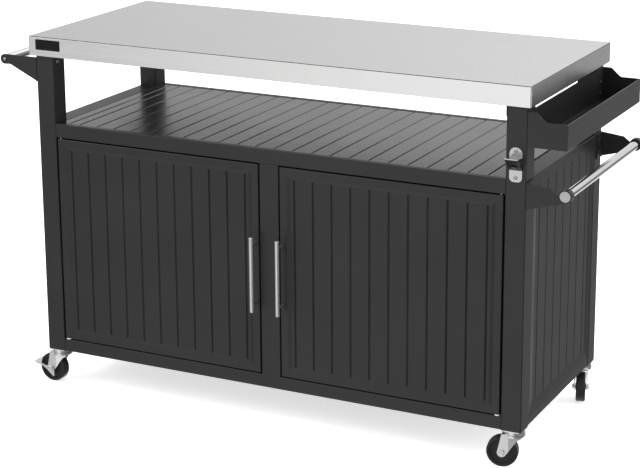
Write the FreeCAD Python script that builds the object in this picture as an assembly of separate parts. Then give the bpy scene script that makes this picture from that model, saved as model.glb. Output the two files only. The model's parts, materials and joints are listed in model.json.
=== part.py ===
import FreeCAD, Part
import math
import os

Vec = FreeCAD.Vector

# Sizes in millimetres. X runs along the cart, Y from its front to its back, Z up from the floor.
top_length = 1320.0
top_depth = 546.0
top_height = 914.0
apron_height = 49.0
apron_lip = 9.0
overhang = 12.0  # of the tabletop past the posts
end_reach = 755.0  # from the middle to the tip of the brackets at either end

post_size = 50.0
post_wall = 1.6
caster_height = 95.0  # from the floor to the posts' lower ends

shelf_height = 694.0  # top of the front and rear rails round the open shelf
deck_step = 1.0  # the deck lies this much lower
top_rail_height = 35.0
side_rail_height = 26.0
side_low_rail_height = 24.0
bottom_rail_height = 33.0
rail_depth = 16.0
rail_wall = 1.5
rail_setback = 1.0  # behind the posts' outer faces
stile_width = 51.0
stile_depth = 20.0

sheet = 1.2
groove_width = 4.6
groove_depth = 2.2
deck_pitch = 49.5
deck_first_groove = -540.0
deck_grooves = 23
deck_edge_groove = -570.0  # one more, closer to the left end
deck_end_gap = 4.0  # open seam at the deck's right end
panel_pitch = 49.0
side_pitch = 54.0
side_grooves = 7
side_slope_width = 26.0  # sloping border of a side panel, along its sides and its lower edge
side_slope_depth = 2.5
side_seam = 0.8  # between a side panel and the rail below it
panel_return = 14.0
panel_setback = 2.0
deck_return = 20.0
floor_drop = 2.0  # below the bottom rails' tops
ledge_drop = 16.0
ledge_sheet = 1.5

door_thickness = 18.0
door_gap = 3.0
hinge_side_gap = 4.0
door_grooves = 11
frame_width = 18.0  # flat border of a door, up to its mitred step
step_width = 9.0
step_depth = 3.0
back_flange = 14.0
pin_radius = 3.0
pin_inset = 6.5  # pin axis from the door's front face and from its outer edge
pin_hold = 10.0  # each pin's length in the rail
pin_reach = 11.0  # and in the door
pin_block = 12.0  # height of the bored blocks in the door's outer corners
running_clearance = 0.06
washer_radius = 6.5
washer_air = 0.4

handle_x = 35.0
handle_radius = 5.75
handle_standoff = 27.0
handle_length = 188.0
handle_middle = 388.0
handle_centres = 148.0
handle_leg_radius = 4.0

strike_low = 592.0
strike_high = 620.0
catch_margin = 4.0  # the catch is this much shorter than its strike at each end

corner_bolt_inset = 16.0  # from the posts' front and back faces
corner_bolt_height = 850.0
corner_angle_low = 838.0
corner_angle_sheet = 2.0
corner_angle_foot = 28.0
corner_angle_half = 13.0

tray_reach = 94.0
tray_floor = 774.0
tray_rim = 833.0
tray_back_rim = 854.0
tray_sheet = 1.5
tray_hem = 8.0
tray_shoulder = 20.0  # where the end plates step down, out from the posts
tray_shoulder_end = 44.0

bracket_sheet = 3.0
flange_width = 38.0
bar_radius = 11.0
bar_wall = 1.2
towel_nose = 15.5
towel_bracket_low = 630.0
towel_bracket_high = 692.0
towel_bar_height = 671.0
push_nose = 12.5
push_bar_height = 845.5
push_bracket_low = 797.0

opener_sheet = 2.5
opener_half = 15.5
opener_low_screw = 701.5
opener_high_screw = 763.5
opener_low_end = 691.0
opener_low_corner = 11.0  # rounding of the lower tab
opener_high_tab = 755.5  # middle of the upper tab's round end
hood_reach = 35.0  # of the opener's hood, out from the post
hood_foot = 718.5  # where its underside leaves the lower tab
hood_edge_low = 749.5
hood_edge_high = 752.0
hood_neck = 748.0  # its top where it leaves the upper tab
mouth_half = 8.5
mouth_low = 727.0
mouth_high = 737.0

wheel_radius = 37.5
wheel_width = 24.0
wheel_trail = 26.5
axle_radius = 4.0
king_radius = 5.0
fork_inside = 14.5
fork_sheet = 2.5
fork_back = 18.0  # the crown's reach past the king pin, away from the wheel
crown_low = 81.0
bowl_radius = 26.0
bowl_low = 76.5
bowl_top = 84.6
race_radius = 24.5
race_low = 85.0
pin_head_radius = 8.0
pin_head_low = 72.6
pin_head_height = 3.0
lobe_radius = 10.8  # round lower end of the fork's legs
leg_crease = 11.0  # where the flat legs end and the webs begin
crease_low = 40.4  # lower end of that crease
web_slant = 0.13  # how fast the fork's webs draw in behind the legs
pedal_arm = 2.0
pedal_air = 0.4
pedal_reach = 51.5
pad_sheet = 2.5
pad_gap = 3.0  # between the wheel's tread and the pedal's pad
pad_low = 4.6  # height of the pad's inner edge over the axle
pad_rise = 29.0  # degrees that the pad slopes up outward

# Where the parts above fall
post_x = top_length / 2 - overhang - post_size / 2
post_y = top_depth / 2 - overhang - post_size / 2
post_out_x = post_x + post_size / 2
post_out_y = post_y + post_size / 2
post_in_x = post_x - post_size / 2
post_in_y = post_y - post_size / 2
top_inside = top_height - sheet
rail_out_y = post_out_y - rail_setback
rail_in_y = rail_out_y - rail_depth
deck_top = shelf_height - deck_step
top_rail_low = shelf_height - top_rail_height
bottom_rail_top = caster_height + bottom_rail_height
floor_top = bottom_rail_top - floor_drop
side_panel_top = deck_top - side_rail_height
panel_out_x = post_out_x - rail_setback
side_low_rail_top = caster_height + side_low_rail_height
side_panel_low = side_low_rail_top + side_seam
door_in_x = stile_width / 2 + door_gap
door_out_x = post_in_x - hinge_side_gap
door_low = bottom_rail_top + door_gap
door_high = top_rail_low - door_gap
door_back_y = -post_out_y + door_thickness
pin_x = door_out_x - pin_inset
pin_y = -post_out_y + pin_inset
handle_y = -post_out_y - handle_standoff
towel_bar_x = end_reach - towel_nose
push_bar_x = end_reach - push_nose

# Each caster: which post, the way its wheel trails at rest, and whether it has a brake
casters = [
    ("front_left", -1, -1, 178.0, True),
    ("front_right", 1, -1, 192.0, False),
    ("rear_left", -1, 1, 245.0, True),
    ("rear_right", 1, 1, -72.0, False),
]


def box(x0, y0, z0, x1, y1, z1):
    return Part.makeBox(x1 - x0, y1 - y0, z1 - z0, Vec(x0, y0, z0))


def rod(radius, start, along):
    return Part.makeCylinder(radius, along.Length, start, along)


def ring(outer, inner, start, along):
    return rod(outer, start, along).cut(rod(inner, start, along))


def fuse(shapes):
    whole = shapes[0].multiFuse(shapes[1:])
    return whole.removeSplitter()


def group(shapes):
    return Part.makeCompound(shapes)


def mirrored(shape, normal):
    return shape.mirror(Vec(0, 0, 0), normal)


def edges_along(shape, direction, keep=lambda middle: True):
    """Straight edges parallel to direction whose middle passes the test."""
    chosen = []
    for edge in shape.Edges:
        if len(edge.Vertexes) != 2 or edge.Curve.TypeId != "Part::GeomLine":
            continue
        run = edge.Vertexes[1].Point.sub(edge.Vertexes[0].Point)
        straight = abs(run.normalize().dot(direction)) > 0.999
        if straight and keep(edge.CenterOfMass):
            chosen.append(edge)
    return chosen


def rounded(shape, radius, direction, keep=lambda middle: True):
    return shape.makeFillet(radius, edges_along(shape, direction, keep))


def plate(points, origin, thickness):
    """A flat plate in the XZ plane, extruded along +Y from the origin's Y."""
    corners = [Vec(origin.x + x, origin.y, origin.z + z) for x, z in points]
    face = Part.Face(Part.makePolygon(corners + corners[:1]))
    return face.extrude(Vec(0, thickness, 0))


def stand(shape, place, outward, upward):
    """Turns a shape drawn in X with +Y outward and Z upward, and puts it in place."""
    across = outward.cross(upward)
    turn = FreeCAD.Rotation(across, outward, upward, "XYZ")
    moved = shape.copy()
    moved.Placement = FreeCAD.Placement(place, turn)
    return moved


def screw(place, outward, head_radius, head_height, shank_radius, shank_length):
    """A low domed head standing on a surface, with its shank running inward."""
    head = rod(head_radius, place, outward * head_height)
    rim = [edge for edge in head.Edges if edge.Curve.TypeId == "Part::GeomCircle"]
    rim = [e for e in rim if e.CenterOfMass.sub(place).dot(outward) > head_height / 2]
    head = head.makeFillet(head_height * 0.6, rim)
    return head.fuse(rod(shank_radius, place, outward * -shank_length))


def even_grooves(pitch, count):
    return [(i - (count - 1) / 2) * pitch for i in range(count)]


def grooved_sheet(across, along, grooves):
    """A pressed sheet with V grooves along Z. Its outer face lies on Y = 0 and faces +Y."""
    outline = [Vec(-across / 2, 0, 0)]
    for middle in grooves:
        outline.append(Vec(middle - groove_width / 2, 0, 0))
        outline.append(Vec(middle, -groove_depth, 0))
        outline.append(Vec(middle + groove_width / 2, 0, 0))
    outline.append(Vec(across / 2, 0, 0))
    lower = [point.add(Vec(0, -sheet, 0)) for point in reversed(outline)]
    face = Part.Face(Part.makePolygon(outline + lower + outline[:1]))
    return face.extrude(Vec(0, 0, along))


def grooved_panel(across, along, grooves, depth):
    """A grooved sheet with its four edges folded back."""
    face = grooved_sheet(across, along, grooves)
    outer = box(-across / 2, -depth, 0, across / 2, -sheet / 2, along)
    inner = box(-across / 2 + sheet, -depth, sheet, across / 2 - sheet, 0, along - sheet)
    return fuse([face, outer.cut(inner)])


def rail(x0, y0, z0, x1, y1, z1, direction):
    """A rectangular tube with rounded long edges, open at its ends."""
    outer = rounded(box(x0, y0, z0, x1, y1, z1), 2.0, direction)
    w = rail_wall
    thin = Vec(w, w, w).sub(Vec(abs(direction.x), abs(direction.y), abs(direction.z)) * w)
    inner = box(x0 + thin.x, y0 + thin.y, z0 + thin.z, x1 - thin.x, y1 - thin.y, z1 - thin.z)
    return outer.cut(inner)


def make_tabletop():
    """The worktop: one folded sheet with a deep apron and a small inward lip."""
    x = top_length / 2
    y = top_depth / 2
    low = top_height - apron_height
    shell = rounded(box(-x, -y, low, x, y, top_height), 3.0, Vec(0, 0, 1))
    crown = [edge for edge in shell.Edges if edge.BoundBox.ZMin > top_height - 0.01]
    shell = shell.makeFillet(2.4, crown)
    inside = box(-x + sheet, -y + sheet, low + sheet, x - sheet, y - sheet, top_inside)
    shell = shell.cut(rounded(inside, 2.0, Vec(0, 0, 1)))
    mouth = sheet + apron_lip
    return shell.cut(box(-x + mouth, -y + mouth, low - 1, x - mouth, y - mouth, low + 2 * sheet))


def make_stiffeners():
    """Three upturned channels that carry the worktop sheet."""
    half_width = 20.0
    drop = 20.0
    y = top_depth / 2 - sheet
    low = top_inside - drop
    channels = []
    for middle in (-330.0, 0.0, 330.0):
        outer = box(middle - half_width, -y, low, middle + half_width, y, top_inside)
        inside = half_width - sheet
        inner = box(middle - inside, -y, low + sheet, middle + inside, y, top_inside)
        channels.append(outer.cut(inner))
    return group(channels)


def make_post(sx, sy):
    low = Vec(sx * post_x - post_size / 2, sy * post_y - post_size / 2, caster_height)
    high = low.add(Vec(post_size, post_size, top_inside - caster_height))
    w = post_wall
    outer = rounded(box(low.x, low.y, low.z, high.x, high.y, high.z), 3.0, Vec(0, 0, 1))
    inner = box(low.x + w, low.y + w, low.z, high.x - w, high.y - w, high.z)
    return outer.cut(rounded(inner, 1.5, Vec(0, 0, 1)))


def corner_bolt(sx, sy):
    face = sx * (post_in_x - corner_angle_sheet)
    place = Vec(face, sy * (post_out_y - corner_bolt_inset), corner_bolt_height)
    return screw(place, Vec(-sx, 0, 0), 5.5, 3.5, 3.0, 14.0)


def make_corner_brackets():
    """Angle brackets that join the posts to the worktop sheet."""
    thick = corner_angle_sheet
    half = corner_angle_half
    brackets = []
    for sx in (-1, 1):
        for sy in (-1, 1):
            inner = post_in_x - thick
            y = post_out_y - corner_bolt_inset
            hanger = box(inner, y - half, corner_angle_low, post_in_x, y + half, top_inside)
            end = inner - corner_angle_foot
            foot = box(end, y - half, top_inside - thick, inner, y + half, top_inside)
            angle = hanger.fuse(foot)
            if sx < 0:
                angle = mirrored(angle, Vec(1, 0, 0))
            if sy < 0:
                angle = mirrored(angle, Vec(0, 1, 0))
            brackets.append(angle.cut(corner_bolt(sx, sy)))
    return group(brackets)


def make_deck():
    """The open shelf's floor, with grooves running front to back."""
    across = 2 * post_in_x - deck_end_gap
    middle = -deck_end_gap / 2
    places = [deck_first_groove + i * deck_pitch for i in range(deck_grooves)]
    grooves = [middle - x for x in reversed([deck_edge_groove] + places)]
    deck = grooved_panel(across, 2 * rail_in_y, grooves, deck_return)
    return stand(deck, Vec(middle, -rail_in_y, deck_top), Vec(0, 0, 1), Vec(0, 1, 0))


def make_long_rail(sy, low, high):
    y0, y1 = sorted((sy * rail_in_y, sy * rail_out_y))
    return rail(-post_in_x, y0, low, post_in_x, y1, high, Vec(1, 0, 0))


def make_side_rail(sx, low, high):
    x0, x1 = sorted((sx * post_in_x, sx * (post_out_x - rail_setback)))
    return rail(x0, -post_in_y, low, x1, post_in_y, high, Vec(0, 1, 0))


def make_floor():
    """The cabinet's floor, let in between the posts."""
    wide_x = panel_out_x - side_slope_depth - sheet - groove_depth - 1.0
    short_y = post_in_y - 3.0
    low = floor_top - sheet
    long_part = box(-post_in_x, -rail_in_y, low, post_in_x, rail_in_y, floor_top)
    return fuse([long_part, box(-wide_x, -short_y, low, wide_x, short_y, floor_top)])


def make_floor_ledges():
    """Strips along the bottom rails that the floor rests on."""
    high = floor_top - sheet
    ledges = []
    for sy in (-1, 1):
        y0, y1 = sorted((sy * rail_in_y, sy * (rail_in_y - ledge_sheet)))
        ledges.append(box(-post_in_x, y0, high - ledge_drop, post_in_x, y1, high))
    return group(ledges)


def side_taper(along, inset0, y0, inset1, y1):
    """A block over a side panel, open at its top, whose inset changes evenly from back to front."""
    half = post_in_y
    high = along + 1
    lower = (inset0 - half, y0, inset0, inset1, inset1 - half)
    upper = (half - inset0, y1, high, high, half - inset1)
    return Part.makeWedge(*lower, *upper)


def make_side_panel(sx):
    """A folded sheet with a border that slopes in to a grooved field; it has no slope at its top."""
    half = post_in_y
    along = side_panel_top - side_panel_low
    slope = side_slope_width
    skin_slope = sheet * 1.05
    panel = box(-half, -panel_return, 0, half, 0, along)
    hollow = box(-half + sheet, -panel_return - 1, sheet, half - sheet, -sheet, along - sheet)
    behind_slope = side_taper(along, slope, -side_slope_depth - skin_slope, sheet, -sheet)
    panel = panel.cut(hollow.cut(behind_slope))
    panel = panel.cut(side_taper(along, slope, -side_slope_depth, sheet, 0))
    panel = panel.cut(box(slope - half, -panel_return - 1, slope, half - slope, 1, along - sheet))
    lap = 0.5
    across = 2 * (half - slope + lap)
    field = grooved_sheet(across, along - slope + lap, even_grooves(side_pitch, side_grooves))
    field.translate(Vec(0, -side_slope_depth, slope - lap))
    panel = fuse([panel, field])
    return stand(panel, Vec(sx * panel_out_x, 0, side_panel_low), Vec(sx, 0, 0), Vec(0, 0, 1))


def make_back_panel():
    count = 2 * int(post_in_x / panel_pitch) - 1
    height = top_rail_low - bottom_rail_top
    panel = grooved_panel(2 * post_in_x, height, even_grooves(panel_pitch, count), panel_return)
    place = Vec(0, post_out_y - panel_setback, bottom_rail_top)
    return stand(panel, place, Vec(0, 1, 0), Vec(0, 0, 1))


def make_stile():
    half = stile_width / 2
    back = -rail_out_y + stile_depth
    return rail(-half, -rail_out_y, bottom_rail_top, half, back, top_rail_low, Vec(0, 0, 1))


def door_box(inset, y0, y1):
    """A block over the right door's outline, drawn in by inset on all four sides."""
    return box(door_in_x + inset, y0, door_low + inset, door_out_x - inset, y1, door_high - inset)


def door_taper(inset0, y0, inset1, y1):
    """A block over the door whose inset changes evenly from front to back."""
    wide = (door_in_x + inset0, door_low + inset0, door_out_x - inset0, door_high - inset0)
    slim = (door_in_x + inset1, door_low + inset1, door_out_x - inset1, door_high - inset1)
    lower = (wide[0], y0, wide[1], slim[1], slim[0])
    upper = (wide[2], y1, wide[3], slim[3], slim[2])
    return Part.makeWedge(*lower, *upper)


def make_right_door():
    """A folded pan: flat border, mitred step, and a grooved field set back in it."""
    front = -post_out_y
    field = frame_width + step_width
    skin_slope = sheet * 1.05
    pan = door_box(0, front, door_back_y)
    rim = [e for e in pan.Edges if e.BoundBox.YMax < front + 0.01]
    pan = pan.makeFillet(1.6, rim)
    hollow = door_box(sheet, front + sheet, door_back_y - sheet)
    behind_step = door_taper(frame_width, front + sheet, field, front + step_depth + skin_slope)
    pan = pan.cut(hollow.cut(behind_step))
    pan = pan.cut(door_box(back_flange, door_back_y - 2 * sheet, door_back_y + 1))
    pan = pan.cut(door_taper(frame_width, front, field, front + step_depth))
    pan = pan.cut(door_box(field, front - 1, door_back_y + 1))
    lap = 0.5
    across = door_out_x - door_in_x - 2 * (field - lap)
    along = door_high - door_low - 2 * (field - lap)
    inlay = grooved_sheet(across, along, even_grooves(panel_pitch, door_grooves))
    middle = (door_in_x + door_out_x) / 2
    place = Vec(middle, front + step_depth, door_low + field - lap)
    inlay = stand(inlay, place, Vec(0, -1, 0), Vec(0, 0, 1))
    blocks = []
    for z in (door_low, door_high - pin_block):
        low = Vec(pin_x - 8, front + 0.6, z + 0.1)
        blocks.append(box(low.x, low.y, low.z, door_out_x - 0.6, front + 15, z + pin_block - 0.1))
    door = fuse([pan, inlay] + blocks)
    bore = rod(pin_radius + running_clearance, Vec(pin_x, pin_y, 0), Vec(0, 0, top_height))
    for leg in handle_screws(Vec(handle_x, 0, 0)):
        door = door.cut(leg)
    return door.cut(bore)


def handle_legs():
    half = handle_centres / 2
    return (handle_middle - half, handle_middle + half)


def handle_screws(place):
    """Screws from inside the door skin into the handle's legs."""
    inside = -post_out_y + sheet
    return [screw(Vec(place.x, inside, z), Vec(0, 1, 0), 4.5, 2.5, 2.0, 12.0) for z in handle_legs()]


def make_handle():
    """A straight stainless bar on two short legs."""
    low = Vec(handle_x, handle_y, handle_middle - handle_length / 2)
    bar = rod(handle_radius, low, Vec(0, 0, handle_length))
    ends = [edge for edge in bar.Edges if edge.Curve.TypeId == "Part::GeomCircle"]
    bar = bar.makeFillet(1.2, ends)
    inward = Vec(0, handle_standoff, 0)
    legs = [rod(handle_leg_radius, Vec(handle_x, handle_y, z), inward) for z in handle_legs()]
    handle = bar.multiFuse(legs)
    for leg in handle_screws(Vec(handle_x, 0, 0)):
        handle = handle.cut(leg)
    return handle


def make_strike():
    x1 = door_in_x + back_flange - 1
    return box(door_in_x + 2, door_back_y, strike_low, x1, door_back_y + 1, strike_high)


def make_catch():
    """A magnetic catch on the back of the centre stile."""
    back = -rail_out_y + stile_depth
    low = strike_low + catch_margin
    high = strike_high - catch_margin
    body = box(8, back, low, door_in_x + 18, back + 13, high)
    nose = box(door_in_x + 3, door_back_y + 1.5, low + 1, door_in_x + 13, back + 1, high - 1)
    return fuse([body, nose])


def hinge_pins():
    """Pins at the doors' outer corners: two below and two above, set in the rails."""
    pins = []
    for sx in (-1, 1):
        low = Vec(sx * pin_x, pin_y, bottom_rail_top - pin_hold)
        high = Vec(sx * pin_x, pin_y, door_high - pin_reach)
        length = pin_hold + door_gap + pin_reach
        pins.append(rod(pin_radius, low, Vec(0, 0, length)))
        pins.append(rod(pin_radius, high, Vec(0, 0, length)))
    return group(pins)


def make_hinge_washers():
    """White plastic washers that the doors turn on, over the bottom rail."""
    up = Vec(0, 0, door_gap - washer_air)
    places = [Vec(sx * pin_x, pin_y, bottom_rail_top) for sx in (-1, 1)]
    return group([ring(washer_radius, pin_radius, place, up) for place in places])


def tray_screws():
    screws = []
    for sy in (-1, 1):
        for z in (792.0, 820.0):
            place = Vec(post_out_x + tray_sheet, sy * post_y, z)
            screws.append(screw(place, Vec(1, 0, 0), 5.5, 2.6, 2.5, 10.0))
    return screws


def make_spice_tray():
    """A folded trough hung on the right posts, with two welded ends that step up to the posts."""
    t = tray_sheet
    x0 = post_out_x
    x1 = post_out_x + tray_reach
    y = post_out_y
    along = Vec(0, 1, 0)

    def low_fold(middle):
        return middle.z < tray_floor + 5

    def shoulder_bend(middle):
        return middle.z > tray_rim - 1 and x0 + 10 < middle.x < x1 - 20

    outer_bend = 2.6
    trough = box(x0, -y + t, tray_floor, x1, y - t, tray_back_rim)
    trough = rounded(trough, outer_bend, along, low_fold)
    inner = box(x0 + t, -y - 1, tray_floor + t, x1 - t, y + 1, tray_back_rim + 1)
    trough = trough.cut(rounded(inner, outer_bend - t, along, low_fold))
    trough = trough.cut(box(x0 + 2 * t, -y - 1, tray_rim, x1 + 1, y + 1, tray_back_rim + 1))
    outline = [
        (0, 0),
        (tray_reach, 0),
        (tray_reach, tray_rim - tray_floor),
        (tray_shoulder_end, tray_rim - tray_floor),
        (tray_shoulder, tray_back_rim - tray_floor),
        (0, tray_back_rim - tray_floor),
    ]
    end = plate(outline, Vec(x0, -y, tray_floor), t)
    end = rounded(end, 9.0, along, shoulder_bend)
    end = rounded(end, outer_bend, along, low_fold)
    hem = box(x1 - 2 * t, -y + t, tray_rim - tray_hem, x1 - t / 2, y - t, tray_rim)
    trough = fuse([trough, hem])
    for fastener in tray_screws():
        trough = trough.cut(fastener)
    return group([trough, end, mirrored(end, along)])


def flange_screws(sx, sy, low, high):
    """Two screws through a bracket's flange into the post's side."""
    y = sy * (post_out_y - 24.0)
    third = (high - low) / 4
    face = sx * (post_out_x + bracket_sheet)
    places = [Vec(face, y, low + third), Vec(face, y, high - third)]
    return [screw(place, Vec(sx, 0, 0), 5.0, 2.6, 2.5, 11.0) for place in places]


def bracket_flange(low, high):
    x1 = post_out_x + bracket_sheet
    return box(post_out_x, -post_out_y, low, x1, -post_out_y + flange_width, high)


def make_towel_bracket(sy):
    """A tapering arm with a collar round the bar's end, and a flange on the post."""
    low = towel_bracket_low
    high = towel_bracket_high
    collar_length = 16.0
    neck_x = towel_bar_x - 12.0
    outline = [
        (post_out_x, low),
        (towel_bar_x, towel_bar_height - towel_nose),
        (towel_bar_x, towel_bar_height),
        (neck_x, towel_bar_height - 2.0),
        (neck_x - 22.0, high - 6.5),
        (post_out_x, high),
    ]
    arm = plate(outline, Vec(0, -post_out_y, 0), bracket_sheet)
    bar_end = Vec(towel_bar_x, -post_out_y, towel_bar_height)
    collar = rod(towel_nose, bar_end, Vec(0, collar_length, 0))
    bracket = fuse([arm, collar, bracket_flange(low, high)])
    bracket = bracket.cut(rod(bar_radius, bar_end, Vec(0, collar_length, 0)))
    for fastener in flange_screws(1, -1, low, high):
        bracket = bracket.cut(fastener)
    return bracket if sy < 0 else mirrored(bracket, Vec(0, 1, 0))


def make_towel_bar():
    start = Vec(towel_bar_x, -post_out_y, towel_bar_height)
    return ring(bar_radius, bar_radius - bar_wall, start, Vec(0, 2 * post_out_y, 0))


def make_towel_caps():
    """Light discs that plug the towel bar's ends."""
    thick = 2.2
    start = Vec(towel_bar_x, -post_out_y - thick, towel_bar_height)
    disc = rod(bar_radius + 1.5, start, Vec(0, thick, 0))
    rim = [e for e in disc.Edges if e.BoundBox.YMax < start.y + 0.1]
    disc = disc.makeFillet(0.9, rim)
    plug = rod(bar_radius - bar_wall, Vec(towel_bar_x, -post_out_y, towel_bar_height), Vec(0, 9, 0))
    cap = disc.fuse(plug)
    return group([cap, mirrored(cap, Vec(0, 1, 0))])


def push_end_screws():
    screws = []
    for sy in (-1, 1):
        place = Vec(-push_bar_x, sy * post_out_y, push_bar_height)
        screws.append(screw(place, Vec(0, sy, 0), 4.2, 2.4, 2.5, 13.0))
    return screws


def make_push_bracket(sy):
    """A gusset with a straight top edge and a round nose that carries the push bar's end."""
    low = push_bracket_low
    high = push_bar_height + push_nose
    outline = [
        (post_out_x, low),
        (post_out_x + 7.0, low + 4.0),
        (push_bar_x - 16.0, high - 2 * push_nose + 1.0),
        (push_bar_x, high - 2 * push_nose),
        (push_bar_x, high),
        (post_out_x, high),
    ]
    arm = plate(outline, Vec(0, -post_out_y, 0), bracket_sheet)
    nose = rod(push_nose, Vec(push_bar_x, -post_out_y, push_bar_height), Vec(0, bracket_sheet, 0))
    bracket = fuse([arm, nose, bracket_flange(low, high)])
    bracket = mirrored(bracket, Vec(1, 0, 0))
    for fastener in flange_screws(-1, -1, low, high) + push_end_screws():
        bracket = bracket.cut(fastener)
    return bracket if sy < 0 else mirrored(bracket, Vec(0, 1, 0))


def make_push_bar():
    """A stainless tube with solid ends that the end screws bite into."""
    half = post_out_y - bracket_sheet
    start = Vec(-push_bar_x, -half, push_bar_height)
    bar = rod(bar_radius, start, Vec(0, 2 * half, 0))
    hollow = Vec(-push_bar_x, -half + 14, push_bar_height)
    bar = bar.cut(rod(bar_radius - bar_wall, hollow, Vec(0, 2 * half - 28, 0)))
    for fastener in push_end_screws():
        bar = bar.cut(fastener)
    return bar


def bracket_screws():
    screws = []
    for sy in (-1, 1):
        screws += flange_screws(1, sy, towel_bracket_low, towel_bracket_high)
        screws += flange_screws(-1, sy, push_bracket_low, push_bar_height + push_nose)
    return screws


def make_badge():
    """A blank plate on the apron's left front corner."""
    face = -top_depth / 2
    blank = box(-639, face - 1.2, 881, -569, face, 907)
    return rounded(blank, 2.0, Vec(0, 1, 0))


def opener_screws():
    face = -post_out_y - opener_sheet
    heights = (opener_low_screw, opener_high_screw)
    return [screw(Vec(post_x, face, z), Vec(0, -1, 0), 4.6, 2.4, 2.2, 12.0) for z in heights]


def across_opener(half, outline):
    """A block as wide as the opener's hood, from a side outline measured out from the post."""
    corners = [Vec(post_x - half, -post_out_y - out, z) for out, z in outline]
    return Part.Face(Part.makePolygon(corners + corners[:1])).extrude(Vec(2 * half, 0, 0))


def make_opener():
    """A bottle opener bent from strip: two screw tabs and a hood with a mouth in its underside."""
    t = opener_sheet
    face = -post_out_y
    out = Vec(0, -t, 0)
    left = post_x - opener_half
    right = post_x + opener_half

    def lower_corners(middle):
        return middle.z < opener_low_end + 1

    low_tab = box(left, face - t, opener_low_end, right, face, hood_foot)
    low_tab = rounded(low_tab, opener_low_corner, Vec(0, 1, 0), lower_corners)
    high_tab = rod(opener_half, Vec(post_x, face, opener_high_tab), out)
    high_tab = high_tab.fuse(box(left, face - t, hood_neck - 2, right, face, opener_high_tab))
    reach = hood_reach
    outside = [(0, hood_foot - 6), (t, hood_foot - 6), (t, hood_foot), (reach, hood_edge_low)]
    outside += [(reach, hood_edge_high), (0, hood_neck)]
    inside = [(-1, hood_foot + 0.5), (0, hood_foot + 1.1), (reach - 4.1, hood_edge_low - 0.5)]
    inside += [(0, hood_neck - t), (-1, hood_neck - t - 0.1)]
    hood = across_opener(opener_half, outside).cut(across_opener(opener_half + 1, inside))
    mouth = box(post_x - mouth_half, face - 40, mouth_low, post_x + mouth_half, face - t, mouth_high)
    hood = hood.cut(rounded(mouth, 3.0, Vec(0, 1, 0)))
    opener = fuse([hood, low_tab, high_tab])
    for fastener in opener_screws():
        opener = opener.cut(fastener)
    return opener


def caster_frame(shape, sx, sy, trail_angle):
    """Puts a caster piece, drawn with its wheel trailing along +X, under its post."""
    moved = shape.copy()
    turn = FreeCAD.Rotation(Vec(0, 0, 1), trail_angle)
    moved.Placement = FreeCAD.Placement(Vec(sx * post_x, sy * post_y, 0), turn)
    return moved


def make_caster_mount():
    """The plate under the post, the upper race and the king pin with its head."""
    base_low = caster_height - 2.5
    base = rounded(box(-24, -24, base_low, 24, 24, caster_height), 5.0, Vec(0, 0, 1))
    race = rod(race_radius, Vec(0, 0, race_low), Vec(0, 0, base_low - race_low))
    pin = rod(king_radius, Vec(0, 0, pin_head_low), Vec(0, 0, base_low - pin_head_low))
    head = rod(pin_head_radius, Vec(0, 0, pin_head_low), Vec(0, 0, pin_head_height))
    return fuse([base, race, pin, head])


def fork_leg():
    """A flat leg down to the axle, and a web that draws in from it towards the king pin."""
    x = wheel_trail
    outer = fork_inside + fork_sheet
    crown_top = crown_low + fork_sheet
    crease = leg_crease
    flat = [(x + 1.0, crown_top), (x + 10.3, wheel_radius + 3.0), (x - 8.9, wheel_radius - 6.0)]
    flat += [(crease, crease_low), (crease, crown_top)]
    leg = plate(flat, Vec(0, fork_inside, 0), fork_sheet)
    leg = leg.fuse(rod(lobe_radius, Vec(x, fork_inside, wheel_radius), Vec(0, fork_sheet, 0)))
    web = [(crease, crown_top), (crease, crease_low), (7.2, 45.5), (2.0, 54.0), (-5.0, 63.5)]
    web += [(-10.0, 69.5), (-fork_back, 73.5), (-fork_back, crown_top)]
    corners = [Vec(a, outer - web_slant * (crease - a), z) for a, z in web]
    face = Part.Face(Part.makePolygon(corners + corners[:1]))
    return leg.fuse(face.extrude(Vec(0, -fork_sheet, 0)))


def make_crown():
    """The fork's flat top with the swivel's lower race, which is flush with the legs' outsides."""
    half = fork_inside + fork_sheet
    narrow = half - web_slant * (leg_crease + fork_back)
    side = [Vec(wheel_trail + 1.0, half, crown_low), Vec(leg_crease, half, crown_low)]
    side.append(Vec(-fork_back, narrow, crown_low))
    other = [Vec(point.x, -point.y, point.z) for point in reversed(side)]
    face = Part.Face(Part.makePolygon(side + other + side[:1]))
    bowl = rod(bowl_radius, Vec(0, 0, bowl_low), Vec(0, 0, bowl_top - bowl_low))
    lower_rim = [e for e in bowl.Edges if e.BoundBox.ZMax < bowl_low + 0.1]
    bowl = bowl.makeFillet(4.0, lower_rim)
    for sy in (-1, 1):
        y0, y1 = sorted((sy * half, sy * (bowl_radius + 1)))
        bowl = bowl.cut(box(leg_crease, y0, 0, bowl_radius + 1, y1, caster_height))
    return face.extrude(Vec(0, 0, fork_sheet)).fuse(bowl)


def axle_half_length(braked):
    half = fork_inside + fork_sheet
    return half + pedal_air + pedal_arm + pedal_air if braked else half


def hexagon(radius, centre):
    corners = []
    for i in range(7):
        angle = i * math.pi / 3
        corners.append(centre.add(Vec(radius * math.cos(angle), 0, radius * math.sin(angle))))
    return Part.Face(Part.makePolygon(corners))


def make_fork(braked):
    """The swivelling fork: crown, two legs, and the axle bolt with its head and nut."""
    leg = fork_leg()
    fork = fuse([leg, mirrored(leg, Vec(0, 1, 0)), make_crown()])
    bore = rod(king_radius + running_clearance, Vec(0, 0, 0), Vec(0, 0, caster_height))
    fork = fork.cut(bore)
    half = axle_half_length(braked)
    centre = Vec(wheel_trail, 0, wheel_radius)
    axle = rod(axle_radius, centre.add(Vec(0, -half, 0)), Vec(0, 2 * half, 0))
    for sy in (-1, 1):
        end = hexagon(7.0, centre.add(Vec(0, sy * half, 0)))
        axle = axle.fuse(end.extrude(Vec(0, sy * 4.0, 0)))
    return group([fork.cut(axle), axle])


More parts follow.
